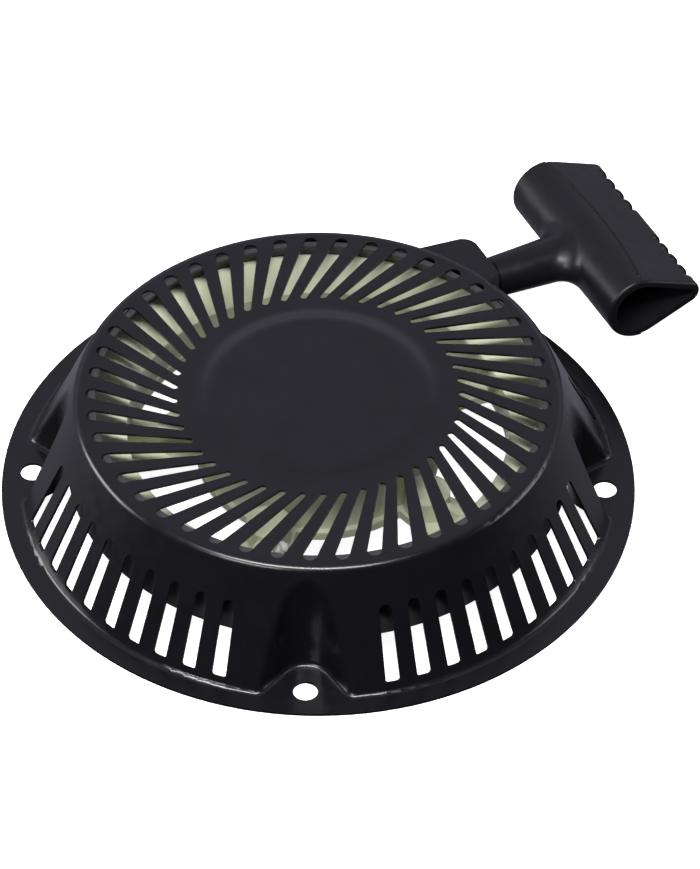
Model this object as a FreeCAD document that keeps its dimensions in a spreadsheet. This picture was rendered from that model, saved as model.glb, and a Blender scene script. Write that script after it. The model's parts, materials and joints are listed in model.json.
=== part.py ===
"""Recoil starter for a small engine: a pressed steel housing with a spring-wound rope reel inside.

The origin is the centre of the mounting face, +Z up along the reel's axis, millimetres.
"""

import FreeCAD, Part
import math
import os

import Sketcher

Vector = FreeCAD.Vector
Rotation = FreeCAD.Rotation
Placement = FreeCAD.Placement

UP = Vector(0, 0, 1)
FULL_TURN = 360.0

# Driving dimensions, millimetres and degrees: cell alias, value.
SIZES = [
    # pressed housing
    ("flange_radius", 107.5),
    ("sheet_thick", 0.9),
    ("foot_radius", 100.5),
    ("rim_radius", 81.2),
    ("plate_height", 41.8),
    ("rim_round", 3.0),
    ("foot_round", 2.0),
    ("disc_radius", 40.8),
    ("disc_rise", 1.6),
    ("disc_round", 11.0),
    ("disc_slant", 5.0),
    # ventilation slots
    ("top_slots", 45),
    ("top_slot_outer", 75.4),
    ("top_slot_inner", 48.1),
    ("top_slot_wide", 2.35),
    ("top_slot_narrow", 1.15),
    ("top_slot_start", -89.6),
    ("top_slot_turn", 12.0),
    ("side_slot_pitch", 6.25),
    ("side_slot_gap", 6.6),
    ("side_slot_low", 3.6),
    ("side_slot_high", 28.5),
    ("side_slot_low_half", 2.4),
    ("side_slot_high_half", 2.1),
    ("side_slots", 5),
    # pressed pockets and bolt holes
    ("bolt_circle_radius", 97.3),
    ("bolt_hole_radius", 4.1),
    ("pocket_nose", 10.0),
    ("pocket_centre", 95.6),
    ("pocket_flare", 37.0),
    ("pocket_draft", 4.0),
    ("pocket_round", 2.6),
    # rope outlet
    ("rope_bearing", 28.85),
    ("rope_offset", 42.9),
    ("rope_height", 21.5),
    ("rope_radius", 2.0),
    ("boss_face", 84.9),
    ("boss_top", 36.5),
    ("boss_corner", 4.5),
    # inner shroud
    ("shroud_low_radius", 84.8),
    ("shroud_low", 12.3),
    ("shroud_high_radius", 78.6),
    ("shroud_high", 38.6),
    ("shroud_thick", 1.0),
    # reel
    ("post_radius", 8.0),
    ("bush_radius", 10.0),
    ("reel_radius", 78.4),
    ("reel_bottom", 13.0),
    ("reel_lip", 33.5),
    ("groove_radius", 66.5),
    ("ring_radius", 64.3),
    ("web_top", 17.0),
    ("cup_outer", 39.0),
    ("cup_inner", 36.5),
    ("cup_top", 36.5),
    ("window_inner", 41.0),
    ("window_sweep", 52.0),
    ("windows", 5),
    ("first_window", -72.0),
    ("lobe_radius", 7.5),
    ("lobe_orbit", 46.5),
    ("lobe_top", 25.0),
    ("rope_wrap_radius", 73.0),
    # mainspring
    ("spring_strip", 0.7),
    ("spring_turns", 8),
    ("spring_low", 20.5),
    ("spring_height", 14.0),
    # pawls
    ("pawl_orbit", 20.0),
    ("pawl_length", 20.0),
    ("pawl_low", 7.6),
    ("pawl_thick", 4.1),
    ("pin_radius", 2.5),
    # handle
    ("grip_reach", 128.0),
    ("grip_tilt", 4.0),
    ("grip_length", 76.5),
    ("grip_yaw", 2.1),
    ("grip_front", 12.0),
    ("grip_back", 4.9),
    ("grip_depth", 18.8),
    ("grip_wall", 2.8),
    ("stem_length", 38.5),
    ("stem_base_radius", 7.2),
    ("stem_root_radius", 8.6),
    ("stem_blend", 9.0),
    ("scallop_radius", 2.7),
    ("scallop_orbit", 5.3),
    ("scallop_sweep", 152.0),
    ("grip_step", 0.45),
    ("seam_place", 0.3),
    ("seam_bow", 4.0),
    ("lip_round", 1.2),
    ("scallop_pitch", 6.7),
    ("scallop_first", 10.5),
]

doc = FreeCAD.newDocument("RecoilStarter")
sheet = doc.addObject("Spreadsheet::Sheet", "Sizes")
for row, (alias, value) in enumerate(SIZES, start=1):
    sheet.set(f"A{row}", alias)
    sheet.set(f"B{row}", str(value))
    sheet.setAlias(f"B{row}", alias)
doc.recompute()

nodes = []


def size(alias):
    """The value of one cell of the sheet."""
    return float(sheet.get(alias))


def cell(formula):
    """A formula such as 'rim_radius - 2' with each alias written as a reference to the sheet."""
    words = sorted((alias for alias, _ in SIZES), key=len, reverse=True)
    out = ""
    i = 0
    while i < len(formula):
        word = next((w for w in words if formula.startswith(w, i)), None)
        if word:
            out += "Sizes." + word
            i += len(word)
        else:
            out += formula[i]
            i += 1
    return out


def value_of(formula):
    """The number that a formula of cells gives."""
    if isinstance(formula, (int, float)):
        return float(formula)
    result = sheet.evalExpression(cell(formula))
    return float(getattr(result, "Value", result))


def bind(obj, **formulas):
    """Bind properties of an object to formulas of the sheet's cells."""
    for prop, formula in formulas.items():
        obj.setExpression(prop.replace("__", "."), cell(str(formula)))
    return obj


def keep(obj, label):
    """Name an object as one finished piece."""
    obj.Label = label
    nodes.append(obj)
    return obj


def origin_plane(body, role):
    return next(f for f in body.Origin.OriginFeatures if f.Role == role)


def new_body(name):
    return doc.addObject("PartDesign::Body", name)


def sketch_on(body, role, name, shift=0):
    """An empty sketch on one of the body's own origin planes, moved along its normal."""
    sketch = body.newObject("Sketcher::SketchObject", name)
    sketch.AttachmentSupport = [(origin_plane(body, role), "")]
    sketch.MapMode = "FlatFace"
    if shift:
        bind(sketch, AttachmentOffset__Base__z=shift)
    return sketch


def pin_point(sketch, edge, end, formula_x, formula_y):
    """Fix one end of a sketch edge by two dimensions from the sketch's origin."""
    for axis, kind, formula in ((-2, "DistanceX", formula_x), (-1, "DistanceY", formula_y)):
        number = value_of(formula)
        if abs(number) < 1e-9:
            sketch.addConstraint(Sketcher.Constraint("PointOnObject", edge, end, axis))
            continue
        index = sketch.addConstraint(Sketcher.Constraint(kind, -1, 1, edge, end, number))
        if not isinstance(formula, (int, float)):
            sketch.setExpression(f"Constraints[{index}]", cell(formula))


def polygon(sketch, points):
    """A closed outline of straight lines through points given as formulas."""
    places = [Vector(value_of(x), value_of(y), 0) for x, y in points]
    count = len(places)
    for i in range(count):
        sketch.addGeometry(Part.LineSegment(places[i], places[(i + 1) % count]), False)
    for i in range(count):
        sketch.addConstraint(Sketcher.Constraint("Coincident", i, 2, (i + 1) % count, 1))
    for i, (x, y) in enumerate(points):
        pin_point(sketch, i, 1, x, y)
    return sketch


def circle(sketch, x, y, radius):
    """A circle given by formulas."""
    centre = Vector(value_of(x), value_of(y), 0)
    edge = sketch.addGeometry(Part.Circle(centre, UP, value_of(radius)), False)
    pin_point(sketch, edge, 3, x, y)
    index = sketch.addConstraint(Sketcher.Constraint("Radius", edge, value_of(radius)))
    if not isinstance(radius, (int, float)):
        sketch.setExpression(f"Constraints[{index}]", cell(radius))
    return edge


def outline(sketch, edges):
    """A closed outline from ready-made arcs and lines, worked out from the sheet's sizes."""
    sketch.addGeometry(edges, False)
    for i in range(len(edges)):
        sketch.addConstraint(Sketcher.Constraint("Block", i))
    return sketch


def capsule(near, far, near_radius, far_radius):
    """Arcs and lines round two circles: a slot that may taper."""
    along = (far - near).normalize()
    side = Vector(-along.y, along.x, 0)
    lean = math.asin((near_radius - far_radius) / near.distanceToPoint(far))
    left = side * math.cos(lean) + along * math.sin(lean)
    right = side * -math.cos(lean) + along * math.sin(lean)
    corners = [
        near + left * near_radius,
        near + right * near_radius,
        far + right * far_radius,
        far + left * far_radius,
    ]
    return [
        Part.Arc(corners[0], near - along * near_radius, corners[1]),
        Part.LineSegment(corners[1], corners[2]),
        Part.Arc(corners[2], far + along * far_radius, corners[3]),
        Part.LineSegment(corners[3], corners[0]),
    ]


def turn(body, points, name="Profile"):
    """Revolve an outline of (radius, height) points about the body's Z axis."""
    sketch = sketch_on(body, "XZ_Plane", name)
    polygon(sketch, points)
    feature = body.newObject("PartDesign::Revolution", "Turned" + name)
    feature.Profile = sketch
    feature.ReferenceAxis = (sketch, ["V_Axis"])
    feature.Angle = FULL_TURN
    sketch.Visibility = False
    return feature


def pad(body, sketch, length, **settings):
    feature = body.newObject("PartDesign::Pad", "Pad" + sketch.Name)
    feature.Profile = sketch
    bind(feature, Length=length)
    for prop, setting in settings.items():
        setattr(feature, prop, setting)
    return feature


def pocket(body, sketch, length, **settings):
    feature = body.newObject("PartDesign::Pocket", "Pocket" + sketch.Name)
    feature.Profile = sketch
    bind(feature, Length=length)
    for prop, setting in settings.items():
        setattr(feature, prop, setting)
    return feature


def around(body, originals, count, sweep=FULL_TURN):
    """Repeat features about the body's Z axis."""
    pattern = body.newObject("PartDesign::PolarPattern", "Around" + originals[0].Name)
    pattern.Originals = originals
    pattern.Axis = (origin_plane(body, "Z_Axis"), [""])
    pattern.Angle = sweep
    pattern.Occurrences = int(count)
    body.Tip = pattern
    return pattern


def turned_piece(name, label, points):
    body = new_body(name)
    turn(body, points)
    return keep(body, label)


def at_bearing(degrees, radius, z=0.0):
    angle = math.radians(degrees)
    return Vector(radius * math.cos(angle), radius * math.sin(angle), z)


# ---------------------------------------------------------------- rope line and its two directions
ROPE_WAY = at_bearing(size("rope_bearing"), 1.0)
ROPE_LEFT = Vector(-ROPE_WAY.y, ROPE_WAY.x, 0)
ROPE_LINE = ROPE_LEFT * size("rope_offset") + UP * size("rope_height")
ALONG_ROPE = Placement(ROPE_LINE, Rotation(UP, ROPE_WAY))
OUTLET_TURN = Rotation(UP, size("rope_bearing"))


def rope_point(distance):
    """A point on the straight line that the rope is pulled along."""
    return ROPE_LINE + ROPE_WAY * distance


# ---------------------------------------------------------------- housing
CONE_SLOPE = "(foot_radius - rim_radius) / (plate_height - sheet_thick)"
WALL_ACROSS = f"sheet_thick * sqrt(1 + ({CONE_SLOPE}) ^ 2)"


def skirt_cone(name, low_radius, high_radius, low, height):
    cone = doc.addObject("Part::Cone", name)
    bind(cone, Radius1=low_radius, Radius2=high_radius, Height=height, Placement__Base__z=low)
    return cone


def pocket_tool(name, angle, grow, low):
    """The tapered tool that presses one arched pocket into the skirt."""
    flare = math.radians(size("pocket_flare"))
    nose = size("pocket_nose") + grow
    centre = Vector(size("pocket_centre"), 0, 0)
    reach = 40.0
    top = centre + Vector(-nose * math.sin(flare), nose * math.cos(flare), 0)
    bottom = Vector(top.x, -top.y, 0)
    way = Vector(math.cos(flare), math.sin(flare), 0)
    top_end = top + way * reach
    bottom_end = Vector(top_end.x, -top_end.y, 0)
    sketch = doc.addObject("Sketcher::SketchObject", name + "Outline")
    outline(
        sketch,
        [
            Part.Arc(top, centre - Vector(nose, 0, 0), bottom),
            Part.LineSegment(bottom, bottom_end),
            Part.LineSegment(bottom_end, top_end),
            Part.LineSegment(top_end, top),
        ],
    )
    sketch.Placement = Placement(Vector(0, 0, low), Rotation(UP, angle))
    tool = doc.addObject("Part::Extrusion", name)
    tool.Base = sketch
    tool.DirMode = "Custom"
    tool.Dir = UP
    tool.Solid = True
    bind(tool, LengthFwd="plate_height + 5", TaperAngle="pocket_draft")
    return tool


def boss_block(name, shrink, low, high):
    """The flat-topped block that the rope leaves the housing through."""
    face = size("boss_face") - shrink
    left = 52.0 - shrink
    right = 31.0 + shrink
    corner = size("boss_corner") - shrink
    back = 40.0
    left_back = 58.0 - shrink
    slope = (Vector(back, left_back, 0) - Vector(face, left, 0)).normalize()
    sketch = doc.addObject("Sketcher::SketchObject", name + "Outline")
    square = [
        Vector(back, left_back, 0),
        Vector(face, left, 0) + slope * corner,
        Vector(face, left - corner, 0),
        Vector(face, right, 0),
        Vector(back, right - 18.0, 0),
    ]
    middle = Vector(face, left, 0) + Vector(-1, -1, 0) * corner * (1 - math.sqrt(0.5))
    outline(
        sketch,
        [
            Part.LineSegment(square[0], square[1]),
            Part.Arc(square[1], middle, square[2]),
            Part.LineSegment(square[2], square[3]),
            Part.LineSegment(square[3], square[4]),
            Part.LineSegment(square[4], square[0]),
        ],
    )
    sketch.Placement = Placement(Vector(0, 0, low), OUTLET_TURN)
    block = doc.addObject("Part::Extrusion", name)
    block.Base = sketch
    block.DirMode = "Custom"
    block.Dir = UP
    block.Solid = True
    block.LengthFwd = high - low
    return block


def fused(name, parts):
    result = doc.addObject("Part::MultiFuse", name)
    result.Shapes = parts
    return result


def cut(name, base, tool):
    result = doc.addObject("Part::Cut", name)
    result.Base = base
    result.Tool = tool
    return result


def rounded(name, base, wanted):
    """Round the edges that wanted(edge) gives a radius for."""
    doc.recompute()
    chosen = []
    for number, edge in enumerate(base.Shape.Edges, start=1):
        radius = wanted(edge)
        if radius:
            chosen.append((number, radius, radius))
    result = doc.addObject("Part::Fillet", name)
    result.Base = base
    result.Edges = chosen
    doc.recompute()
    return result


def flat_at(edge, z):
    box = edge.BoundBox
    return abs(box.ZMin - z) < 0.01 and abs(box.ZMax - z) < 0.01


def is_ring(edge, radius, tolerance=0.2):
    curve = edge.Curve
    return isinstance(curve, Part.Circle) and abs(curve.Radius - radius) < tolerance


def dome(prefix, inset):
    """The housing's outer form, or its hollow when inset is one thickness of sheet."""
    inner = inset > 0
    thick = size("sheet_thick")
    across = f"({WALL_ACROSS})" if inner else "0"
    low = "-sheet_thick" if inner else "sheet_thick"
    high = "plate_height - sheet_thick" if inner else "plate_height"
    low_radius = f"foot_radius + ({CONE_SLOPE}) * (sheet_thick - ({low})) - {across}"
    high_radius = f"rim_radius + ({CONE_SLOPE}) * (plate_height - ({high})) - {across}"
    cone = skirt_cone(prefix + "Cone", low_radius, high_radius, low, f"({high}) - ({low})")
    boss_low = -thick if inner else thick
    boss = boss_block(prefix + "Boss", inset, boss_low, size("boss_top") - inset)
    body = fused(prefix + "Solid", [cone, boss])
    tools = [
        pocket_tool(f"{prefix}Pocket{i}", 90.0 * i, inset, boss_low)
        for i in range(4)
    ]
    pressed = cut(prefix + "Pressed", body, fused(prefix + "Pockets", tools))
    rim_height = value_of(high)
    rim_radius = value_of(high_radius)
    arch_round = size("pocket_round") - inset * 0.6

    def wanted(edge):
        if flat_at(edge, rim_height) and is_ring(edge, rim_radius):
            return size("rim_round") - inset
        if edge.BoundBox.ZMax - edge.BoundBox.ZMin > 15.0 and edge.BoundBox.ZMax < 36.0:
            middle = edge.valueAt((edge.FirstParameter + edge.LastParameter) / 2)
            away = abs(math.degrees(math.atan2(middle.y, middle.x)) % 90.0 - 45.0)
            if away > 30.0:
                return arch_round
        return 0

    smooth = rounded(prefix + "Smooth", pressed, wanted)
    disc = skirt_cone(
        prefix + "Disc",
        "disc_radius" if not inner else "disc_radius - sheet_thick",
        "disc_radius - disc_slant" if not inner else "disc_radius - disc_slant - sheet_thick",
        high,
        "disc_rise",
    )
    joined = fused(prefix + "Joined", [smooth, disc])
    low_ring = value_of("disc_radius - sheet_thick" if inner else "disc_radius")
    top_ring = low_ring - size("disc_slant")

    def disc_edge(edge):
        on_plate = flat_at(edge, rim_height) and is_ring(edge, low_ring)
        on_top = flat_at(edge, rim_height + size("disc_rise")) and is_ring(edge, top_ring)
        return size("disc_round") if on_plate or on_top else 0

    return rounded(prefix + "Form", joined, disc_edge)


def foot_edge(edge):
    """The radius for an edge where the skirt, a pocket's wall or the outlet meets the flange."""
    if not flat_at(edge, size("sheet_thick")):
        return 0
    if is_ring(edge, size("flange_radius")):
        return 0
    return size("foot_round")


def make_housing():
    flange = doc.addObject("Part::Cylinder", "FlangeDisc")
    bind(flange, Radius="flange_radius", Height="sheet_thick")
    pressed = fused("OuterForm", [flange, dome("Outer", 0.0)])
    form = rounded("FootBlend", pressed, foot_edge)
    shell = cut("PressedShell", form, dome("Inner", size("sheet_thick")))
    eyelet_hole = doc.addObject("Part::Cylinder", "EyeletHole")
    eyelet_hole.Radius = EYELET_NECK + 0.05
    eyelet_hole.Height = 20.0
    eyelet_hole.Placement = Placement(rope_point(size("boss_face") - 8.0), Rotation(UP, ROPE_WAY))
    bored = cut("BoredShell", shell, eyelet_hole)
    doc.recompute()

    body = new_body("Housing")
    body.BaseFeature = bored
    doc.recompute()

    holes = sketch_on(body, "XY_Plane", "BoltHole", "sheet_thick + 1")
    circle(holes, "bolt_circle_radius", 0, "bolt_hole_radius")
    around(body, [pocket(body, holes, "sheet_thick + 3")], 4)
    doc.recompute()

    slot = sketch_on(body, "XY_Plane", "TopSlot", "plate_height + 1")
    outer_angle = size("top_slot_start")
    far = at_bearing(outer_angle, size("top_slot_outer"))
    near = at_bearing(outer_angle + size("top_slot_turn"), size("top_slot_inner"))
    outline(slot, capsule(near, far, size("top_slot_narrow"), size("top_slot_wide")))
    around(body, [pocket(body, slot, "sheet_thick + 2")], size("top_slots"))
    doc.recompute()

    half_gap = size("side_slot_gap") / 2
    pitch = size("side_slot_pitch")
    count = int(size("side_slots"))
    for quadrant in range(4):
        centre = 45.0 + 90.0 * quadrant
        for side in (-1, 1):
            if quadrant == 0 and side == 1:
                continue
            start = centre + half_gap if side == 1 else centre - half_gap - (count - 1) * pitch
            side_slot_group(body, f"SideSlot{quadrant}{'L' if side == 1 else 'R'}", start)
    return keep(body, "housing")


def side_slot_group(body, name, bearing):
    """Five rounded slots through the skirt, one pitch apart, starting at a bearing."""
    inside = 70.0
    depth = 45.0
    sketch = sketch_on(body, "XY_Plane", name)
    low = size("side_slot_low")
    high = size("side_slot_high")
    wide = size("side_slot_low_half")
    narrow = size("side_slot_high_half")
    soft = 1.0
    corners = [
        Vector(-wide + soft, low, 0),
        Vector(wide - soft, low, 0),
        Vector(wide, low + soft, 0),
        Vector(narrow, high - narrow, 0),
        Vector(-narrow, high - narrow, 0),
        Vector(-wide, low + soft, 0),
    ]
    bend = soft * (1 - math.sqrt(0.5))
    outline(
        sketch,
        [
            Part.LineSegment(corners[0], corners[1]),
            Part.Arc(corners[1], Vector(wide - bend, low + bend, 0), corners[2]),
            Part.LineSegment(corners[2], corners[3]),
            Part.Arc(corners[3], Vector(0, high, 0), corners[4]),
            Part.LineSegment(corners[4], corners[5]),
            Part.Arc(corners[5], Vector(-wide + bend, low + bend, 0), corners[0]),
        ],
    )
    away = at_bearing(bearing, 1.0)
    across = Vector(-away.y, away.x, 0)
    facing = Rotation(across, UP, away, "ZXY")
    sketch.AttachmentOffset = Placement(away * inside, facing)
    slot = pocket(body, sketch, str(depth), Reversed=True)
    doc.recompute()
    count = size("side_slots")
    around(body, [slot], count, size("side_slot_pitch") * (count - 1))
    doc.recompute()


# ---------------------------------------------------------------- rope outlet
EYELET_NECK = 5.2
EYELET_BORE = 2.9


def make_outlet():
    guide = turned_piece(
        "RopeGuide",
        "rope_guide",
        [
            (EYELET_BORE + 1.6, "boss_face - 5"),
            (EYELET_NECK, "boss_face - 5"),
            (EYELET_NECK, "boss_face + 0.1"),
            (6.8, "boss_face + 0.1"),
            (6.6, "boss_face + 2.4"),
            (5.4, "boss_face + 3.6"),
            (EYELET_BORE, "boss_face + 3.6"),
            (EYELET_BORE, "boss_face - 2"),
        ],
    )
    guide.Placement = ALONG_ROPE
    retainer = turned_piece(
        "GuideRetainer",
        "guide_retainer",
        [
            (EYELET_NECK, "boss_face - sheet_thick - 3.2"),
            (6.2, "boss_face - sheet_thick - 3.2"),
            (6.2, "boss_face - sheet_thick - 1.9"),
            (EYELET_NECK, "boss_face - sheet_thick - 1.9"),
        ],
    )
    retainer.Placement = ALONG_ROPE


# ---------------------------------------------------------------- inner shroud
def make_shroud():
    """The tapered ring that hangs under the rim and keeps air and rope round the reel."""
    ring = new_body("ShroudRing")
    turn(
        ring,
        [
            ("shroud_low_radius - shroud_thick", "shroud_low"),
            ("shroud_low_radius", "shroud_low"),
            ("shroud_high_radius", "shroud_high"),
            ("shroud_high_radius - 2", "plate_height - sheet_thick"),
            ("shroud_high_radius - 4", "plate_height - sheet_thick"),
            ("shroud_high_radius - 4", "plate_height - sheet_thick - shroud_thick"),
            ("shroud_high_radius - shroud_thick - 1.5", "plate_height - sheet_thick - shroud_thick"),
            ("shroud_high_radius - shroud_thick", "shroud_high - 1"),
        ],
    )
    gap = 0.4
    clear = [
        pocket_tool(f"ShroudClear{i}", 90.0 * i, size("sheet_thick") + gap, 0.0)
        for i in range(4)
    ]
    start, end = rope_bend()[0], rope_point(size("boss_face"))
    window = doc.addObject("Part::Cylinder", "RopeWindow")
    window.Radius = 5.0
    window.Height = start.distanceToPoint(end) + 6.0
    window.Placement = Placement(start, Rotation(UP, end - start))
    keep(cut("Shroud", ring, fused("ShroudTools", clear + [window])), "inner_shroud")


# ---------------------------------------------------------------- rope
def rope_bend():
    """Where the rope leaves the reel, the corner inside the guide, and its far end in the handle."""
    corner = rope_point(size("boss_face") - 4.0)
    wrap = size("rope_wrap_radius")
    flat = Vector(corner.x, corner.y, 0)
    bearing = math.degrees(math.atan2(flat.y, flat.x))
    swing = math.degrees(math.acos(wrap / flat.Length))
    leave = at_bearing(bearing + swing, wrap, size("rope_height"))
    return leave, corner, rope_point(size("grip_reach") - 1.0)


def tube(path, start, way):
    section = Part.Wire(Part.makeCircle(size("rope_radius"), start, way))
    return path.makePipeShell([section], True, False)


def rope_lead_shape():
    leave, corner, _ = rope_bend()
    end = rope_point(size("grip_reach") - size("stem_length") - 1.0)
    way_in = (corner - leave).normalize()
    way_out = ROPE_WAY
    turn_angle = way_in.getAngle(way_out)
    reach = 3.5
    radius = reach / math.tan(turn_angle / 2)
    first = corner - way_in * reach
    last = corner + way_out * reach
    inward = (way_out - way_in).normalize()
    middle = corner + inward * (radius / math.cos(turn_angle / 2) - radius)
    clear = size("rope_wrap_radius") + size("rope_radius") * 2 + 0.3
    start = leave + way_in * math.sqrt(clear**2 - size("rope_wrap_radius") ** 2)
    path = Part.Wire(
        [
            Part.LineSegment(start, first).toShape(),
            Part.Arc(first, middle, last).toShape(),
            Part.LineSegment(last, end).toShape(),
        ]
    )
    return tube(path, start, way_in), path.Length


def make_rope():
    lead, length = rope_lead_shape()
    lead_piece = doc.addObject("Part::Feature", "RopeLead")
    lead_piece.Shape = lead
    keep(lead_piece, "rope_lead")
    area = math.pi * size("rope_radius") ** 2
    print("rope lead volume against section times length:", lead.Volume, area * length)

    stem_rope = doc.addObject("Part::Cylinder", "StemRope")
    bind(stem_rope, Radius="rope_radius", Height="stem_length - 5")
    stem_start = Placement(Vector(-size("stem_length"), 0, 0), Rotation(Vector(0, 1, 0), 90))
    stem_rope.Placement = handle_placement().multiply(stem_start)
    keep(stem_rope, "rope_in_stem")

    half = 4.0
    winding = turned_piece(
        "RopeWinding",
        "rope_winding",
        [
            ("groove_radius", f"rope_height - {half}"),
            ("rope_wrap_radius - 3", f"rope_height - {half}"),
            ("rope_wrap_radius + 1.7", f"rope_height - {half} + 1.5"),
            ("rope_wrap_radius + 1.7", f"rope_height + {half} - 1.5"),
            ("rope_wrap_radius - 3", f"rope_height + {half}"),
            ("groove_radius", f"rope_height + {half}"),
        ],
    )
    return winding


def knot(name, label, centre, radius):
    ball = doc.addObject("Part::Sphere", name)
    ball.Radius = radius
    ball.Placement = Placement(centre, Rotation())
    return keep(ball, label)


# ---------------------------------------------------------------- reel
def make_reel():
    body = new_body("Reel")
    turn(
        body,
        [
            ("bush_radius", "reel_bottom - 1"),
            (27.0, "reel_bottom - 1"),
            (27.0, "reel_bottom + 1"),
            ("reel_radius", "reel_bottom"),
            ("reel_radius", "reel_bottom + 2.2"),
            ("groove_radius", "rope_height - 4.5"),
            ("groove_radius", "rope_height + 4.5"),
            ("reel_radius", "reel_lip - 2"),
            ("reel_radius", "reel_lip"),
            ("ring_radius", "reel_lip - 5.2"),
            ("ring_radius", "web_top"),
            ("cup_outer", "web_top"),
            ("cup_outer", "cup_top"),
            ("cup_inner", "cup_top"),
            ("cup_inner", "spring_low - 1.5"),
            ("bush_radius", "spring_low - 1.5"),
        ],
    )
    doc.recompute()

    window = sketch_on(body, "XY_Plane", "Window", "web_top + 2")
    half = size("window_sweep") / 2
    inner = size("window_inner")
    outer = size("ring_radius") - 0.3
    first = size("first_window")
    ends = [at_bearing(first - half, inner), at_bearing(first + half, inner)]
    tops = [at_bearing(first - half, outer), at_bearing(first + half, outer)]
    outline(
        window,
        [
            Part.Arc(ends[0], at_bearing(first, inner), ends[1]),
            Part.LineSegment(ends[1], tops[1]),
            Part.Arc(tops[1], at_bearing(first, outer), tops[0]),
            Part.LineSegment(tops[0], ends[0]),
        ],
    )
    around(body, [pocket(body, window, "web_top - reel_bottom + 8")], size("windows"))
    doc.recompute()

    lobe = sketch_on(body, "XY_Plane", "Lobe", "reel_bottom + 1")
    spoke = first + FULL_TURN / size("windows") / 2
    spot = at_bearing(spoke, size("lobe_orbit"))
    circle(lobe, spot.x, spot.y, "lobe_radius")
    around(body, [pad(body, lobe, "lobe_top - reel_bottom - 1")], size("windows"))
    doc.recompute()

    rib = sketch_on(body, "XY_Plane", "Rib", "web_top - 1")
    way = at_bearing(spoke, 1.0)
    side = Vector(-way.y, way.x, 0) * 1.4
    corners = [
        way * size("cup_outer") + side,
        way * size("cup_outer") - side,
        way * (size("ring_radius") + 0.5) - side,
        way * (size("ring_radius") + 0.5) + side,
    ]
    outline(rib, [Part.LineSegment(corners[i], corners[(i + 1) % 4]) for i in range(4)])
    around(body, [pad(body, rib, "7")], size("windows"))
    doc.recompute()

    for side in (0, 180):
        hole = sketch_on(body, "XY_Plane", f"PinHole{side}", "reel_bottom + 1.6")
        at = at_bearing(side, size("pawl_orbit"))
        circle(hole, at.x, at.y, "pin_radius")
        pocket(body, hole, "5")
        doc.recompute()
    return keep(body, "reel")


def make_hub():
    turned_piece(
        "CentrePost",
        "centre_post",
        [
            (4.0, "reel_bottom - 3"),
            ("post_radius", "reel_bottom - 3"),
            ("post_radius", "plate_height - sheet_thick - 2"),
            (16.0, "plate_height - sheet_thick - 2"),
            (16.0, "plate_height - sheet_thick"),
            (0, "plate_height - sheet_thick"),
            (0, "reel_bottom + 12"),
            (4.0, "reel_bottom + 12"),
        ],
    )
    turned_piece(
        "ReelBush",
        "reel_bush",
        [
            ("post_radius + 0.05", "reel_bottom - 1"),
            ("bush_radius", "reel_bottom - 1"),
            ("bush_radius", "spring_low - 1.5"),
            ("post_radius + 0.05", "spring_low - 1.5"),
        ],
    )
    turned_piece(
        "SpringCover",
        "spring_cover",
        [
            (18.0, "cup_top"),
            ("cup_outer", "cup_top"),
            ("cup_outer", "cup_top + 0.8"),
            (18.0, "cup_top + 0.8"),
        ],
    )


def spiral_face(start_radius, pitch, turns, strip):
    """A flat spiral strip of half-circle arcs, centred by turns on either side of the axis."""
    edges = {0: [], 1: []}
    for rail, extra in ((0, 0.0), (1, strip)):
        radius = start_radius + extra
        x = radius
        side = 1
        for _ in range(int(turns) * 2):
            centre = Vector(x - side * radius, 0, 0)
            begin = Vector(x, 0, 0)
            middle = Vector(centre.x, side * radius, 0)
            end = Vector(centre.x - side * radius, 0, 0)
            edges[rail].append(Part.Arc(begin, middle, end).toShape())
            x = end.x
            radius += pitch / 2
            side = -side
    inner_ends = (edges[0][0].Vertexes[0].Point, edges[1][0].Vertexes[0].Point)
    outer_ends = (edges[0][-1].Vertexes[-1].Point, edges[1][-1].Vertexes[-1].Point)
    caps = [Part.LineSegment(*inner_ends).toShape(), Part.LineSegment(*outer_ends).toShape()]
    wire = Part.Wire(Part.__sortEdges__(edges[0] + edges[1] + caps))
    return Part.Face(wire)


def make_mainspring():
    start = size("post_radius") + 0.7
    room = size("cup_inner") - start - 1.5
    pitch = room / size("spring_turns")
    face = spiral_face(start, pitch, size("spring_turns"), size("spring_strip"))
    spring = doc.addObject("Part::Feature", "Mainspring")
    spring.Shape = face.extrude(Vector(0, 0, size("spring_height")))
    spring.Placement = Placement(Vector(0, 0, size("spring_low")), Rotation())
    keep(spring, "mainspring")


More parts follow.
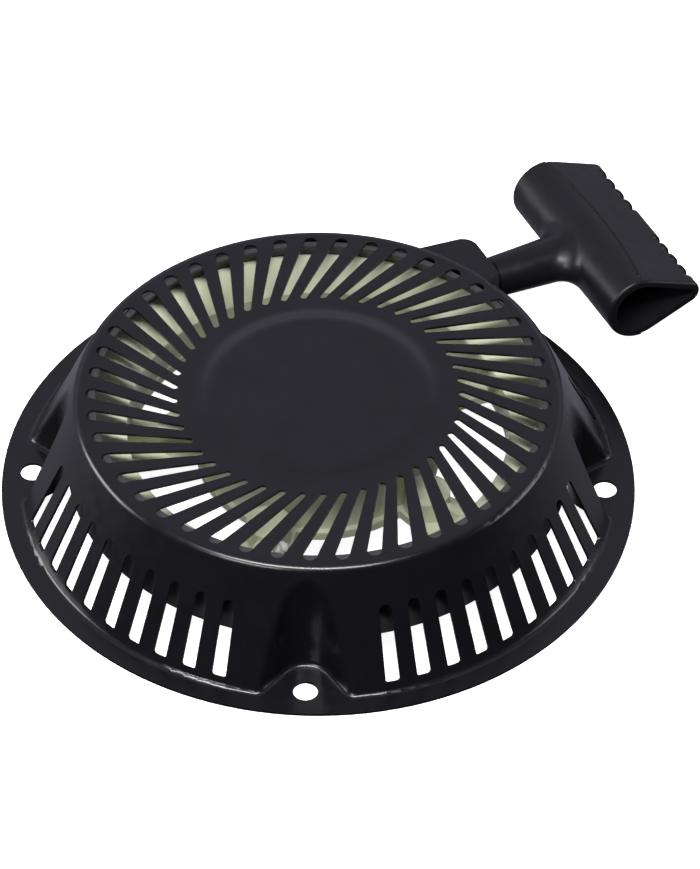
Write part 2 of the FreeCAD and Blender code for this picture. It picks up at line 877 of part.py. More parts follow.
# ---------------------------------------------------------------- pawls and their guide
def make_pawls():
    pins = []
    coils = []
    for name, label, bearing in (("PawlA", "pawl_left", 0.0), ("PawlB", "pawl_right", 180.0)):
        body = new_body(name)
        sketch = sketch_on(body, "XY_Plane", name + "Outline")
        near = Vector(size("pawl_orbit"), 0, 0)
        far = near + Vector(-1.0, -size("pawl_length"), 0)
        outline(sketch, capsule(near, far, 4.8, 2.6))
        pad(body, sketch, "pawl_thick")
        doc.recompute()
        bore = sketch_on(body, "XY_Plane", name + "Bore", "pawl_thick + 1")
        circle(bore, "pawl_orbit", 0, "pin_radius + 0.06")
        pocket(body, bore, "pawl_thick + 2")
        body.Placement = Placement(Vector(0, 0, size("pawl_low")), Rotation(UP, bearing))
        keep(body, label)

        pin = doc.addObject("Part::Cylinder", name + "Pin")
        bind(pin, Radius="pin_radius", Height="reel_bottom - pawl_low + 1.8")
        pin.Placement = Placement(
            at_bearing(bearing, size("pawl_orbit"), size("pawl_low") - 0.2), Rotation()
        )
        pins.append(pin)

        coil = doc.addObject("Part::Torus", name + "Coil")
        coil.Radius1 = 3.4
        coil.Radius2 = 0.45
        coil.Placement = Placement(
            at_bearing(bearing, size("pawl_orbit"), size("pawl_low") - 0.6), Rotation()
        )
        leg = doc.addObject("Part::Cylinder", name + "Leg")
        leg.Radius = 0.45
        leg.Height = 11.0
        leg.Placement = Placement(
            Rotation(UP, bearing).multVec(Vector(size("pawl_orbit") + 4.35, 0, 0))
            + Vector(0, 0, size("pawl_low") - 0.6),
            Rotation(UP, Rotation(UP, bearing).multVec(Vector(0, -1, 0))),
        )
        coils.extend([coil, leg])
    pin_group = doc.addObject("Part::Compound", "PawlPins")
    pin_group.Links = pins
    keep(pin_group, "pawl_pins")
    coil_group = doc.addObject("Part::Compound", "PawlSprings")
    coil_group.Links = coils
    keep(coil_group, "pawl_springs")


def make_guide():
    guide = new_body("PawlGuide")
    turn(
        guide,
        [
            (4.1, 4.6),
            (14.0, 4.6),
            (14.0, 6.0),
            (8.0, 6.0),
            (8.0, "reel_bottom - 3"),
            (4.1, "reel_bottom - 3"),
        ],
    )
    doc.recompute()
    arm = sketch_on(guide, "XY_Plane", "Arm", "4.6")
    outline(arm, capsule(Vector(-25, 8, 0), Vector(25, -8, 0), 4.5, 4.499))
    pad(guide, arm, "1.4")
    doc.recompute()
    bore = sketch_on(guide, "XY_Plane", "GuideBore", "8")
    circle(bore, 0, 0, 4.1)
    pocket(guide, bore, "6")
    keep(guide, "pawl_guide")

    ring = doc.addObject("Part::Torus", "FrictionRing")
    ring.Radius1 = 9.0
    ring.Radius2 = 0.8
    ring.Placement = Placement(Vector(0, 0, 7.4), Rotation())
    keep(ring, "friction_spring")

    turned_piece("GuideWasher", "guide_washer", [(4.1, 3.6), (9.5, 3.6), (9.5, 4.6), (4.1, 4.6)])

    screw = new_body("CentreScrew")
    turn(
        screw,
        [
            (0, 0.8),
            (6.0, 0.8),
            (6.0, 2.9),
            (8.2, 2.9),
            (8.2, 3.6),
            (4.0, 3.6),
            (4.0, "reel_bottom + 8"),
            (0, "reel_bottom + 8"),
        ],
    )
    doc.recompute()
    flats = sketch_on(screw, "XY_Plane", "HexFlats", "2.9")
    circle(flats, 0, 0, 7.0)
    hexagon = [at_bearing(60.0 * i, 5.9) for i in range(6)]
    sides = [(hexagon[i].x, hexagon[i].y) for i in range(6)]
    polygon_offset(flats, sides)
    pocket(screw, flats, "3")
    keep(screw, "centre_screw")


def polygon_offset(sketch, sides):
    """A closed outline of straight lines added to a sketch that already holds other edges."""
    for i in range(len(sides)):
        begin = Vector(sides[i][0], sides[i][1], 0)
        end = Vector(sides[(i + 1) % len(sides)][0], sides[(i + 1) % len(sides)][1], 0)
        edge = sketch.addGeometry(Part.LineSegment(begin, end), False)
        sketch.addConstraint(Sketcher.Constraint("Block", edge))


# ---------------------------------------------------------------- handle
SCALLOPS_PER_SIDE = 4


def handle_placement():
    """The handle hangs a little askew on its rope: rolled about the stem and turned to one side."""
    roll = Rotation(Vector(1, 0, 0), -size("grip_tilt"))
    yaw = Rotation(UP, size("rope_bearing") - size("grip_yaw"))
    return Placement(rope_point(size("grip_reach")), yaw.multiply(roll))


def bar(name, lift):
    """The bar's section drawn out to its length, with its end edges rounded."""
    body = new_body(name)
    section = sketch_on(body, "XZ_Plane", name + "Section")
    depth = Vector(size("grip_depth"), 0, 0)
    outline(section, capsule(Vector(), depth, size("grip_front") - lift, size("grip_back") - lift))
    drawn = pad(body, section, "grip_length", Midplane=True)
    doc.recompute()
    ends = [
        f"Edge{number}"
        for number, edge in enumerate(drawn.Shape.Edges, start=1)
        if edge.BoundBox.YLength < 0.01
    ]
    lip = body.newObject("PartDesign::Fillet", name + "Lip")
    lip.Base = (drawn, ends)
    lip.Radius = size("lip_round")
    doc.recompute()
    return body


def grip_outside():
    """The rounded front stands a small step proud of the rear faces, along a bowed seam."""
    front = bar("GripFront", 0.0)
    rear = bar("GripRear", size("grip_step"))
    behind = sketch_on(front, "XY_Plane", "BehindSeam")
    place = size("seam_place")
    end = size("grip_length") / 2 + 1.0
    far = size("grip_depth") + size("grip_back") + 5.0
    corners = [Vector(place, end, 0), Vector(far, end, 0), Vector(far, -end, 0), Vector(place, -end, 0)]
    outline(
        behind,
        [
            Part.LineSegment(corners[0], corners[1]),
            Part.LineSegment(corners[1], corners[2]),
            Part.LineSegment(corners[2], corners[3]),
            Part.Arc(corners[3], Vector(place + size("seam_bow"), 0, 0), corners[0]),
        ],
    )
    pocket(front, behind, "4 * grip_front", Midplane=True)
    doc.recompute()
    return fused("GripOutside", [front, rear])


def make_handle():
    outside = grip_outside()
    body = new_body("HandleGrip")
    body.BaseFeature = outside
    doc.recompute()
    front = size("grip_front")
    back = size("grip_back") - size("grip_step")
    depth = Vector(size("grip_depth"), 0, 0)
    wall = size("grip_wall")

    stem = sketch_on(body, "XY_Plane", "StemProfile")
    length = size("stem_length")
    root = size("stem_root_radius")
    base = size("stem_base_radius")
    corners = [
        Vector(-length, 0, 0),
        Vector(-length, base - 0.8, 0),
        Vector(-length + 0.8, base, 0),
        Vector(-6.0, root, 0),
        Vector(-6.0, 0, 0),
    ]
    outline(stem, [Part.LineSegment(corners[i], corners[(i + 1) % 5]) for i in range(5)])
    revolve = body.newObject("PartDesign::Revolution", "Stem")
    revolve.Profile = stem
    revolve.ReferenceAxis = (stem, ["H_Axis"])
    revolve.Angle = FULL_TURN
    doc.recompute()

    joint = []
    for number, edge in enumerate(revolve.Shape.Edges, start=1):
        box = edge.BoundBox
        if box.XMax < -4.0 and box.XMin > -12.5 and box.YLength > 6.0 and box.YMax < 12.0:
            joint.append(f"Edge{number}")
    blend = body.newObject("PartDesign::Fillet", "StemBlend")
    blend.Base = (revolve, joint)
    blend.Radius = size("stem_blend")
    doc.recompute()

    scallops = sketch_on(body, "XY_Plane", "Scallops")
    for side in (-1, 1):
        for i in range(SCALLOPS_PER_SIDE):
            y = side * (size("scallop_first") + i * size("scallop_pitch"))
            circle(scallops, "grip_depth + scallop_orbit", y, "scallop_radius")
    reach = size("grip_length") / 2
    across = Part.LineSegment(Vector(depth.x, -reach, 0), Vector(depth.x, reach, 0))
    pivot = scallops.addGeometry(across, True)
    scallops.addConstraint(Sketcher.Constraint("Block", pivot))
    hollows = body.newObject("PartDesign::Groove", "FingerScallops")
    hollows.Profile = scallops
    hollows.ReferenceAxis = (scallops, ["Axis0"])
    hollows.Midplane = True
    bind(hollows, Angle="scallop_sweep")
    doc.recompute()

    hollow = sketch_on(body, "XZ_Plane", "GripHollow")
    outline(hollow, capsule(Vector(), depth, front - wall, back - wall + 0.2))
    pocket(body, hollow, "grip_length + 2", Midplane=True)
    doc.recompute()
    bore = sketch_on(body, "YZ_Plane", "StemBore")
    circle(bore, 0, 0, "rope_radius + 0.3")
    pocket(body, bore, "stem_length + 4")
    doc.recompute()

    body.Placement = handle_placement()
    keep(body, "handle_grip")

    washer = turned_piece(
        "HandleWasher",
        "handle_washer",
        [
            ("rope_radius + 0.1", -7.0),
            (5.2, -7.0),
            (5.2, -6.0),
            ("rope_radius + 0.1", -6.0),
        ],
    )
    along_stem = Rotation(Vector(0, 1, 0), 90)
    washer.Placement = handle_placement().multiply(Placement(Vector(), along_stem))


# ---------------------------------------------------------------- assembly
make_housing()
make_shroud()
make_outlet()
make_hub()
make_mainspring()
make_reel()
make_rope()
knot("ReelKnot", "reel_knot", at_bearing(-102.0, 58.6, 22.0), 4.6)
make_pawls()
make_guide()
make_handle()
knot("HandleKnot", "handle_knot", handle_placement().multVec(Vector(-1.2, 0, 0)), 4.5)
doc.recompute()

failed = [o.Name for o in doc.Objects if "Invalid" in o.State or "Error" in o.State]
for piece in nodes:
    if piece.Shape.isNull() or not piece.Shape.isValid():
        failed.append(piece.Label)
if failed:
    raise RuntimeError("failed objects: " + ", ".join(failed))

os.makedirs("parts", exist_ok=True)
for piece in nodes:
    piece.Shape.exportStep(f"parts/{piece.Label}.step")
    box = piece.Shape.BoundBox
    print(f"{piece.Label:18s} solids {len(piece.Shape.Solids)} volume {piece.Shape.Volume:9.1f}"
          f" z {box.ZMin:7.2f} {box.ZMax:7.2f}")
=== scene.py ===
"""Looks of the recoil starter: camera, studio light, materials and the fine pieces round the CAD."""

import json
import math

import bpy
from mathutils import Matrix, Vector


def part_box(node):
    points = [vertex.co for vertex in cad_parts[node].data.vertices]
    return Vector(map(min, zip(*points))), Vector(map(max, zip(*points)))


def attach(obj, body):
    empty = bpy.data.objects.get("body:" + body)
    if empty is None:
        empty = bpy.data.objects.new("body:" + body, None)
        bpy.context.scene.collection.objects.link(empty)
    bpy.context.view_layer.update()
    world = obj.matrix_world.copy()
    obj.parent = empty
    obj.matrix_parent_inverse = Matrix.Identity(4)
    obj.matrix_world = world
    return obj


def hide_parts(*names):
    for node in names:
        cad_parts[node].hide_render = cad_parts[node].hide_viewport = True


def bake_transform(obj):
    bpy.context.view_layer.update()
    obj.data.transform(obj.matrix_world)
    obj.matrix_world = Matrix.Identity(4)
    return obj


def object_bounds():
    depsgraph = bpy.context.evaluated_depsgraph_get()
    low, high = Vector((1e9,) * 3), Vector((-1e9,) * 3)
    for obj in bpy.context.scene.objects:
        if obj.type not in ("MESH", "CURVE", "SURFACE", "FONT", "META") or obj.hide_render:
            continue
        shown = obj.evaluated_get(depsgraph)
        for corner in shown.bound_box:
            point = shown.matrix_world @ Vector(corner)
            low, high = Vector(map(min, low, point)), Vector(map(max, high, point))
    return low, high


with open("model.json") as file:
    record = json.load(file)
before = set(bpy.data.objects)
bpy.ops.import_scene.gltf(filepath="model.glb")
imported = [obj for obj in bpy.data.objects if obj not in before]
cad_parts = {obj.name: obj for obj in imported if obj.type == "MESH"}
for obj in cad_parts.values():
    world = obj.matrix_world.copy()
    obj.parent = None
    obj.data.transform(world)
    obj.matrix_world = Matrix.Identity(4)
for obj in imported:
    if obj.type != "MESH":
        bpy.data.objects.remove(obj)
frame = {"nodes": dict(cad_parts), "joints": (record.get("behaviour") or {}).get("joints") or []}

CAD_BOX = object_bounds()
NODES = frame["nodes"]
MM = 0.001

# ---------------------------------------------------------------- places taken from the frame
FLANGE_LOW, FLANGE_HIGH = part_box("housing")
FLANGE_RADIUS = (FLANGE_HIGH.x - FLANGE_LOW.x) / 2
PULL = next(Vector(j["axis"]) for j in frame["joints"] if j["name"] == "handle_pull").normalized()
PULL_LEFT = Vector((-PULL.y, PULL.x, 0))

# the rope's line and the reel's groove
ROPE_OFFSET = 42.9 * MM
ROPE_HEIGHT = 21.5 * MM
ROPE_RADIUS = 2.0 * MM
WRAP_RADIUS = 73.0 * MM
BOSS_FACE = 84.9 * MM
GUIDE_DEPTH = 4.0 * MM
LEAD_START = 24.9 * MM
BEND_REACH = 3.5 * MM
BEND_STEPS = 12
TURNS = 4
STEPS_PER_TURN = 560
INNER_TURN_RADIUS = 68.7 * MM
LAYER_RISE = 3.7 * MM
KNOT_BEARING = math.radians(-102)

# where the winding crosses to the groove's other side, in turns
CROSSING_START = 0.93
CROSSING_SPAN = 0.14

# the braid's skin between strands and how far it swells over them, in rope radii
BRAID_VALLEY = 0.86
BRAID_SWELL = 0.14

# the overhand knots
KNOT_STRAND = 1.8 * MM
KNOT_DEPTH = 1.3
REEL_KNOT_SIZE = 1.55 * MM
REEL_KNOT_PITCH = math.radians(35)
REEL_KNOT_TURN = math.radians(20)
GRIP_KNOT_SIZE = 1.5 * MM

# the handle, which hangs a little askew on its rope
GRIP_REACH = 128.0 * MM
GRIP_YAW = math.radians(2.1)
GRIP_ROLL = math.radians(-4)
ROPE_END_IN_GRIP = 4.5 * MM
SEAM_RADIUS = 0.42 * MM
SEAM_STEPS = 72

# the radius of the bar's front and the seam's line on it, in millimetres
GRIP_FRONT = 12.0
SEAM_HALF = 36.0
SEAM_END = 2.2
SEAM_PLACE = 0.3
SEAM_BOW = 4.0


def rope_point(distance):
    """A point on the straight line that the rope is pulled along."""
    return PULL_LEFT * ROPE_OFFSET + PULL * distance + Vector((0, 0, ROPE_HEIGHT))


# ---------------------------------------------------------------- materials
# a noise texture's value seldom leaves this range
NOISE_LOW = 0.3
NOISE_HIGH = 0.7


def shaded(color, factor):
    return tuple(c * factor for c in color)


def color_ramp(nodes, links, value, stops):
    """A colour read by a value off (place, colour) stops."""
    ramp = nodes.new("ShaderNodeValToRGB")
    elements = ramp.color_ramp.elements
    while len(elements) < len(stops):
        elements.new(0.5)
    for element, (place, color) in zip(elements, stops):
        element.position = place
        element.color = (*color, 1)
    links.new(value, ramp.inputs["Fac"])
    return ramp.outputs["Color"]


class Paint:
    """A Principled material with short helpers for its node tree."""

    def __init__(self, name, color, roughness, metallic=0.0):
        self.mat = bpy.data.materials.new(name)
        self.mat.use_nodes = True
        self.nodes = self.mat.node_tree.nodes
        self.links = self.mat.node_tree.links
        self.bsdf = self.nodes["Principled BSDF"]
        self.bsdf.inputs["Base Color"].default_value = (*color, 1)
        self.bsdf.inputs["Roughness"].default_value = roughness
        self.bsdf.inputs["Metallic"].default_value = metallic
        self.coords = self.nodes.new("ShaderNodeTexCoord")
        self.height = None

    def set(self, **values):
        """Sets shader sockets by name, with _ for a space."""
        for key, value in values.items():
            self.bsdf.inputs[key.replace("_", " ")].default_value = value
        return self

    def stretched(self, scale):
        """Object coordinates scaled by axis, for a directed grain."""
        mapping = self.nodes.new("ShaderNodeMapping")
        mapping.inputs["Scale"].default_value = scale
        self.links.new(self.coords.outputs["Object"], mapping.inputs["Vector"])
        return mapping.outputs["Vector"]

    def noise(self, scale, detail=3.0, vector=None):
        tex = self.nodes.new("ShaderNodeTexNoise")
        tex.inputs["Scale"].default_value = scale
        tex.inputs["Detail"].default_value = detail
        self.links.new(vector or self.coords.outputs["Object"], tex.inputs["Vector"])
        return tex.outputs["Fac"]

    def spread(self, fac, low, high):
        """A noise value mapped onto the range from low to high."""
        ramp = self.nodes.new("ShaderNodeMapRange")
        ramp.inputs["To Min"].default_value = low
        ramp.inputs["To Max"].default_value = high
        ramp.inputs["From Min"].default_value = NOISE_LOW
        ramp.inputs["From Max"].default_value = NOISE_HIGH
        self.links.new(fac, ramp.inputs["Value"])
        return ramp.outputs["Result"]

    def colors(self, fac, stops):
        return color_ramp(self.nodes, self.links, fac, stops)

    def color_from(self, socket):
        self.links.new(socket, self.bsdf.inputs["Base Color"])
        return self

    def roughness_from(self, socket):
        self.links.new(socket, self.bsdf.inputs["Roughness"])
        return self

    def bump(self, fac, distance, strength=1.0):
        """Adds a bump on top of those set before."""
        node = self.nodes.new("ShaderNodeBump")
        node.inputs["Distance"].default_value = distance
        node.inputs["Strength"].default_value = strength
        self.links.new(fac, node.inputs["Height"])
        if self.height:
            self.links.new(self.height, node.inputs["Normal"])
        self.height = node.outputs["Normal"]
        self.links.new(self.height, self.bsdf.inputs["Normal"])
        return self


def satin_paint(name, color, roughness):
    """Sprayed black paint on pressed steel: faint orange peel and soft cloudiness."""
    p = Paint(name, color, roughness)
    p.set(Specular_IOR_Level=0.42)
    lighter = shaded(color, 1.12)
    darker = shaded(color, 0.9)
    p.color_from(p.colors(p.noise(70, 4), [(0.35, darker), (0.65, lighter)]))
    p.roughness_from(p.spread(p.noise(260, 4), roughness - 0.02, roughness + 0.03))
    p.bump(p.noise(1600, 2), 0.00002, 0.4)
    return p.mat


def moulded_black(name, color, roughness):
    """Black moulded plastic with a fine spark-eroded grain."""
    p = Paint(name, color, roughness)
    p.set(Specular_IOR_Level=0.26)
    lighter = shaded(color, 1.3)
    p.color_from(p.colors(p.noise(60, 3), [(0.35, color), (0.7, lighter)]))
    p.roughness_from(p.spread(p.noise(220, 4), roughness - 0.05, roughness + 0.07))
    p.bump(p.noise(2600, 3), 0.00004, 0.6)
    return p.mat


def ivory_plastic(name):
    """Greenish-ivory nylon that lets a little light through."""
    p = Paint(name, (0.60, 0.63, 0.46), 0.38)
    p.set(Subsurface_Weight=0.35, Subsurface_Scale=0.004, Subsurface_Radius=(1.0, 1.0, 0.55))
    p.set(Specular_IOR_Level=0.45)
    stops = [(0.3, (0.52, 0.56, 0.38)), (0.55, (0.61, 0.65, 0.48)), (0.75, (0.68, 0.71, 0.56))]
    p.color_from(p.colors(p.noise(38, 5), stops))
    p.roughness_from(p.spread(p.noise(120, 3), 0.3, 0.46))
    p.bump(p.noise(900, 3), 0.00004, 0.5)
    return p.mat


def metal(name, color, roughness, grain=(600, 600, 600), depth=0.00001):
    """Metal with a cloudy tint, and a grain in its roughness and bump."""
    p = Paint(name, color, roughness, 1.0)
    shade = shaded(color, 0.72)
    p.color_from(p.colors(p.noise(90, 4), [(0.3, shade), (0.7, color)]))
    brushed = p.noise(1.0, 3, p.stretched(grain))
    p.roughness_from(p.spread(brushed, roughness - 0.08, roughness + 0.1))
    p.bump(brushed, depth, 0.4)
    return p.mat


def rope_fibre(name):
    """Braided nylon, off-white with grey flecks."""
    p = Paint(name, (0.74, 0.73, 0.69), 0.72)
    p.set(Sheen_Weight=0.25, Sheen_Roughness=0.5)
    stops = [(0.36, (0.23, 0.23, 0.22)), (0.5, (0.62, 0.61, 0.57)), (0.62, (0.82, 0.81, 0.77))]
    p.color_from(p.colors(p.noise(520, 2), stops))
    p.bump(p.noise(3200, 2), 0.00008, 0.8)
    return p.mat


HOUSING_PAINT = satin_paint("housing_black", (0.0042, 0.0040, 0.0054), 0.24)
# painted light: the inner shroud is the housing's black paint, given a lighter colour here to lift it
# where it sits in shade behind the slots
SHROUD_PAINTED_LIGHT = satin_paint("shroud_black_painted_light", (0.03, 0.03, 0.033), 0.5)
GRIP_PLASTIC = moulded_black("grip_black", (0.0050, 0.0050, 0.0066), 0.34)
GUIDE_PLASTIC = moulded_black("guide_black", (0.007, 0.007, 0.009), 0.34)
# painted shade: the seam is the grip's own plastic, given a darker black here to stand in for the shade
# along the seam's step
SEAM_SHADE_BLACK = moulded_black("seam_painted_shade", (0.0015, 0.0015, 0.002), 0.5)
REEL_PLASTIC = ivory_plastic("reel_ivory")
ROPE = rope_fibre("rope_nylon")
ZINC = metal("zinc_plate", (0.66, 0.64, 0.56), 0.34)
STEEL = metal("turned_steel", (0.56, 0.56, 0.57), 0.3, (80, 80, 2600))
BLUED = metal("blued_spring", (0.12, 0.14, 0.20), 0.3, (300, 300, 3000))
HARD_STEEL = metal("hardened_steel", (0.30, 0.29, 0.28), 0.42)
BRONZE = metal("sintered_bronze", (0.62, 0.42, 0.22), 0.45, (1800, 1800, 1800), 0.00003)
WIRE = metal("drawn_wire", (0.5, 0.5, 0.52), 0.25)

FINISH = {
    "housing": HOUSING_PAINT,
    "inner_shroud": SHROUD_PAINTED_LIGHT,
    "centre_post": STEEL,
    "rope_guide": GUIDE_PLASTIC,
    "guide_retainer": ZINC,
    "mainspring": BLUED,
    "reel": REEL_PLASTIC,
    "reel_bush": BRONZE,
    "spring_cover": ZINC,
    "pawl_left": HARD_STEEL,
    "pawl_right": HARD_STEEL,
    "pawl_pins": STEEL,
    "pawl_guide": ZINC,
    "guide_washer": ZINC,
    "centre_screw": STEEL,
    "handle_grip": GRIP_PLASTIC,
    "handle_washer": ZINC,
    "pawl_springs": WIRE,
    "friction_spring": WIRE,
}
for node, finish in FINISH.items():
    NODES[node].data.materials.clear()
    NODES[node].data.materials.append(finish)


# ---------------------------------------------------------------- mesh helpers
def new_piece(name, vertices, faces, finish):
    """A smooth-shaded mesh object with one material."""
    mesh = bpy.data.meshes.new(name)
    mesh.from_pydata([tuple(v) for v in vertices], [], faces)
    mesh.polygons.foreach_set("use_smooth", [True] * len(mesh.polygons))
    mesh.materials.append(finish)
    obj = bpy.data.objects.new(name, mesh)
    bpy.context.scene.collection.objects.link(obj)
    return obj


def frames_along(points, closed=False):
    """A tangent and two steady side directions at each point of a line."""
    count = len(points)
    tangents = []
    for i in range(count):
        before = points[(i - 1) % count] if closed or i > 0 else points[i]
        after = points[(i + 1) % count] if closed or i < count - 1 else points[i]
        tangents.append((after - before).normalized())
    side = tangents[0].orthogonal().normalized()
    frames = []
    for tangent in tangents:
        side = (side - tangent * side.dot(tangent)).normalized()
        frames.append((tangent, side, tangent.cross(side)))
    return frames


def braided_tube(name, points, radius, finish, around=20, strands=8, lay=9.0 * MM):
    """A rope whose skin rises and falls as strands that cross over and under each other."""
    frames = frames_along(points)
    vertices = []
    travelled = 0.0
    for i, point in enumerate(points):
        if i:
            travelled += (point - points[i - 1]).length
        _, side, up = frames[i]
        phase = travelled / lay * math.tau
        for k in range(around):
            angle = math.tau * k / around
            right = math.cos(strands / 2 * (angle + phase / strands * 2))
            left = math.cos(strands / 2 * (angle - phase / strands * 2))
            swell = max(abs(right), abs(left))
            r = radius * (BRAID_VALLEY + BRAID_SWELL * swell)
            vertices.append(point + (side * math.cos(angle) + up * math.sin(angle)) * r)
    rings = len(points)
    faces = []
    for i in range(rings - 1):
        for k in range(around):
            a = i * around + k
            b = i * around + (k + 1) % around
            faces.append((a, b, b + around, a + around))
    faces.append(tuple(range(around - 1, -1, -1)))
    faces.append(tuple((rings - 1) * around + k for k in range(around)))
    return new_piece(name, vertices, faces, finish)


def straight(start, end, step=0.8 * MM):
    """Points along a line, both ends included."""
    count = max(2, int((end - start).length / step))
    return [start.lerp(end, i / count) for i in range(count + 1)]


def knot_line(centre, spin, scale, count=120):
    """An overhand knot: the line of a trefoil."""
    points = []
    for i in range(count):
        t = math.tau * i / count
        p = Vector(
            (
                math.sin(t) + 2 * math.sin(2 * t),
                math.cos(t) - 2 * math.cos(2 * t),
                -math.sin(3 * t) * KNOT_DEPTH,
            )
        )
        points.append(centre + spin @ (p * scale))
    return points


# ---------------------------------------------------------------- rope
def make_rope_run():
    """The rope from the reel through the guide and up the handle's stem."""
    corner = rope_point(BOSS_FACE - GUIDE_DEPTH)
    flat = Vector((corner.x, corner.y, 0))
    swing = math.acos(WRAP_RADIUS / flat.length)
    bearing = math.atan2(flat.y, flat.x) + swing
    leave = Vector((math.cos(bearing), math.sin(bearing), 0)) * WRAP_RADIUS
    leave.z = ROPE_HEIGHT
    way_in = (corner - leave).normalized()
    start = leave + way_in * LEAD_START
    first = corner - way_in * BEND_REACH
    last = corner + PULL * BEND_REACH
    bend = []
    for i in range(1, BEND_STEPS):
        t = i / BEND_STEPS
        bend.append(first * (1 - t) ** 2 + corner * 2 * t * (1 - t) + last * t**2)
    end = rope_point(GRIP_REACH - ROPE_END_IN_GRIP)
    points = straight(start, first) + bend + straight(last, end)
    run = braided_tube("rope_run", points, ROPE_RADIUS, ROPE)
    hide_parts("rope_lead", "rope_in_stem")
    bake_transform(run)


def make_winding():
    """The rope's turns in the reel's groove, two side by side in each layer."""
    low = ROPE_HEIGHT - ROPE_RADIUS
    lift = 2 * ROPE_RADIUS
    points = []
    for i in range(TURNS * STEPS_PER_TURN + 1):
        t = i / STEPS_PER_TURN
        layer = int(t) // 2
        radius = INNER_TURN_RADIUS + layer * LAYER_RISE
        crossing = min(1.0, max(0.0, (t % 2) - CROSSING_START) / CROSSING_SPAN)
        level = crossing if layer % 2 == 0 else 1 - crossing
        angle = KNOT_BEARING - math.tau * t
        points.append(
            Vector((math.cos(angle) * radius, math.sin(angle) * radius, low + level * lift))
        )
    winding = braided_tube("rope_turns", points, ROPE_RADIUS, ROPE, around=14)
    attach(winding, "reel")
    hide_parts("rope_winding")


def make_grip_seam():
    """The moulding seam across the bar, bowed back at its middle, drawn in a darker black as painted
    shade along it.
    """
    turn = Matrix.Rotation(math.atan2(PULL.y, PULL.x) - GRIP_YAW, 3, "Z")
    turn = turn @ Matrix.Rotation(GRIP_ROLL, 3, "X")
    origin = rope_point(GRIP_REACH)
    for side, name in ((1, "grip_seam_and_shade_top"), (-1, "grip_seam_and_shade_under")):
        points = []
        for i in range(SEAM_STEPS + 1):
            along = SEAM_HALF * (2 * i / SEAM_STEPS - 1)
            back = SEAM_PLACE + SEAM_BOW * (1 - (along / (SEAM_HALF + SEAM_END)) ** 2)
            up = side * math.sqrt(GRIP_FRONT**2 - back**2)
            points.append(origin + turn @ (Vector((back, along, up)) * MM))
        seam = braided_tube(name, points, SEAM_RADIUS, SEAM_SHADE_BLACK, around=8, strands=2)
        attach(seam, "handle")


def make_knots():
    """The overhand knots at the rope's two ends."""
    centre = sum(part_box("reel_knot"), Vector()) / 2
    spin = Matrix.Rotation(REEL_KNOT_PITCH, 3, "X") @ Matrix.Rotation(REEL_KNOT_TURN, 3, "Y")
    line = knot_line(centre, spin, REEL_KNOT_SIZE)
    knot = braided_tube("reel_rope_knot", line, KNOT_STRAND, ROPE)
    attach(knot, "reel")
    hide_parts("reel_knot")

    centre = sum(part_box("handle_knot"), Vector()) / 2
    spin = PULL.to_track_quat("Z", "Y").to_matrix()
    line = knot_line(centre, spin, GRIP_KNOT_SIZE)
    knot = braided_tube("handle_rope_knot", line, KNOT_STRAND, ROPE)
    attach(knot, "handle")
    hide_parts("handle_knot")


make_rope_run()
make_winding()
make_knots()
make_grip_seam()


# ---------------------------------------------------------------- floor, light and camera
FLOOR_HALF = 3.0
FLOOR_DROP = 0.0002
FLOOR_GREY = 0.9
FLOOR_GLOW = 0.9

# name, place, aim, width, height and power of each lamp
LAMPS = (
    ("overhead", (-0.1, -0.55, 1.2), (0, 0, 0), 1.0, 0.16, 26),
    ("left_panel", (-1.1, 0.1, 0.30), (0, 0, 0.03), 0.6, 0.42, 8),
    ("right_panel", (1.1, 0.1, 0.30), (0, 0, 0.03), 0.6, 0.42, 3),
    ("front_strip", (-0.55, -1.0, 0.85), (0, 0, 0.02), 0.5, 0.1, 7),
)

# (place along the ramp, brightness): the sky from the horizon up, and from front to back
SKY_BY_HEIGHT = ((0.0, 0.32), (0.12, 0.45), (0.35, 0.8), (0.55, 0.55), (0.68, 0.47), (1.0, 0.6))
SKY_BY_DEPTH = ((0.0, 0.05), (0.4, 0.06), (0.52, 0.3), (0.66, 1.0))
SKY_TINT = (1.0, 0.98, 1.08)
SKY_STRENGTH = 0.78

CAMERA_ELEVATION = math.radians(44.84)
CAMERA_AZIMUTH = math.radians(2.45)
CAMERA_DISTANCE = 15.09 * FLANGE_RADIUS
CAMERA_SENSOR = 36
CAMERA_LENS = 197.7
CAMERA_SHIFT_X = 0.0366
CAMERA_SHIFT_Y = 0.0549
CAMERA_REACH = 50


def make_floor():
    """A bright table that the black paint doesn't mirror, and that is clear from below."""
    mesh = bpy.data.meshes.new("floor")
    signs = ((-1, -1), (1, -1), (1, 1), (-1, 1))
    corners = [(x * FLOOR_HALF, y * FLOOR_HALF, 0) for x, y in signs]
    mesh.from_pydata(corners, [], [(0, 1, 2, 3)])
    floor = bpy.data.objects.new("floor", mesh)
    bpy.context.scene.collection.objects.link(floor)
    floor.location.z = CAD_BOX[0][2] - FLOOR_DROP
    paper = Paint("lit_table", (FLOOR_GREY,) * 3, 0.9)
    paper.set(Specular_IOR_Level=0.1)
    paper.set(Emission_Color=(1, 1, 1, 1), Emission_Strength=FLOOR_GLOW)
    clear = paper.nodes.new("ShaderNodeBsdfTransparent")
    side = paper.nodes.new("ShaderNodeNewGeometry")
    either = paper.nodes.new("ShaderNodeMixShader")
    paper.links.new(side.outputs["Backfacing"], either.inputs[0])
    paper.links.new(paper.bsdf.outputs[0], either.inputs[1])
    paper.links.new(clear.outputs[0], either.inputs[2])
    paper.links.new(either.outputs[0], paper.nodes["Material Output"].inputs["Surface"])
    mesh.materials.append(paper.mat)
    floor.visible_glossy = False
    floor.visible_diffuse = False


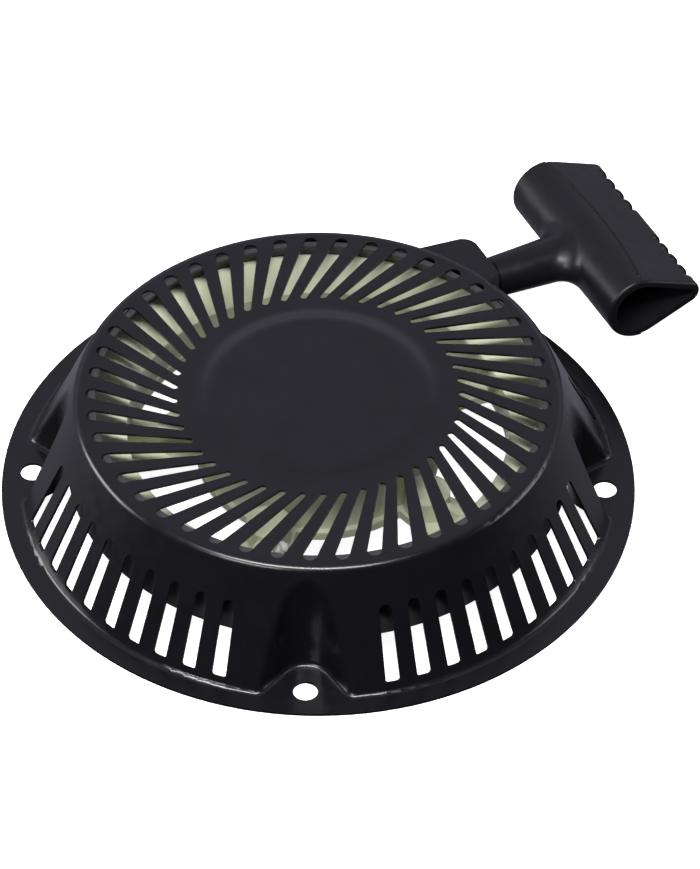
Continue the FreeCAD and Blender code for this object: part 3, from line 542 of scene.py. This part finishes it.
def area_light(name, place, target, width, height, power):
    """A soft rectangular lamp turned towards a point."""
    light = bpy.data.lights.new(name, "AREA")
    light.shape = "RECTANGLE"
    light.size = width
    light.size_y = height
    light.energy = power
    lamp = bpy.data.objects.new(name, light)
    lamp.location = place
    lamp.rotation_euler = (Vector(target) - Vector(place)).to_track_quat("-Z", "Y").to_euler()
    bpy.context.scene.collection.objects.link(lamp)


def sky_ramp(nodes, links, value, stops):
    """A faintly violet brightness read off these stops."""
    return color_ramp(nodes, links, value, [(place, shaded(SKY_TINT, level)) for place, level in stops])


def make_world():
    """A dim studio: dark in front, bright at the back, and brightest some 20 degrees up."""
    world = bpy.data.worlds.new("studio")
    world.use_nodes = True
    nodes = world.node_tree.nodes
    links = world.node_tree.links
    way = nodes.new("ShaderNodeTexCoord")
    split = nodes.new("ShaderNodeSeparateXYZ")
    links.new(way.outputs["Generated"], split.inputs["Vector"])
    high = sky_ramp(nodes, links, split.outputs["Z"], SKY_BY_HEIGHT)
    shift = nodes.new("ShaderNodeMath")
    shift.operation = "MULTIPLY_ADD"
    shift.inputs[1].default_value = 0.5
    shift.inputs[2].default_value = 0.5
    links.new(split.outputs["Y"], shift.inputs[0])
    behind = sky_ramp(nodes, links, shift.outputs[0], SKY_BY_DEPTH)
    both = nodes.new("ShaderNodeMix")
    both.data_type = "RGBA"
    both.blend_type = "MULTIPLY"
    both.inputs[0].default_value = 1.0
    links.new(high, both.inputs[6])
    links.new(behind, both.inputs[7])
    links.new(both.outputs[2], nodes["Background"].inputs["Color"])
    nodes["Background"].inputs["Strength"].default_value = SKY_STRENGTH
    bpy.context.scene.world = world


def make_light():
    for lamp in LAMPS:
        area_light(*lamp)
    make_world()


def make_camera():
    """A long lens in front of the object, looking down at it from about 45 degrees."""
    back = Vector(
        (
            math.sin(CAMERA_AZIMUTH) * math.cos(CAMERA_ELEVATION),
            -math.cos(CAMERA_AZIMUTH) * math.cos(CAMERA_ELEVATION),
            math.sin(CAMERA_ELEVATION),
        )
    )
    camera = bpy.data.cameras.new("camera")
    camera.sensor_width = CAMERA_SENSOR
    camera.lens = CAMERA_LENS
    camera.shift_x = CAMERA_SHIFT_X
    camera.shift_y = CAMERA_SHIFT_Y
    camera.clip_end = CAMERA_REACH
    eye = bpy.data.objects.new("camera", camera)
    eye.location = back * CAMERA_DISTANCE
    eye.rotation_euler = (-back).to_track_quat("-Z", "Y").to_euler()
    bpy.context.scene.collection.objects.link(eye)
    bpy.context.scene.camera = eye
    bpy.context.scene.view_settings.view_transform = "Standard"


make_floor()
make_light()
make_camera()
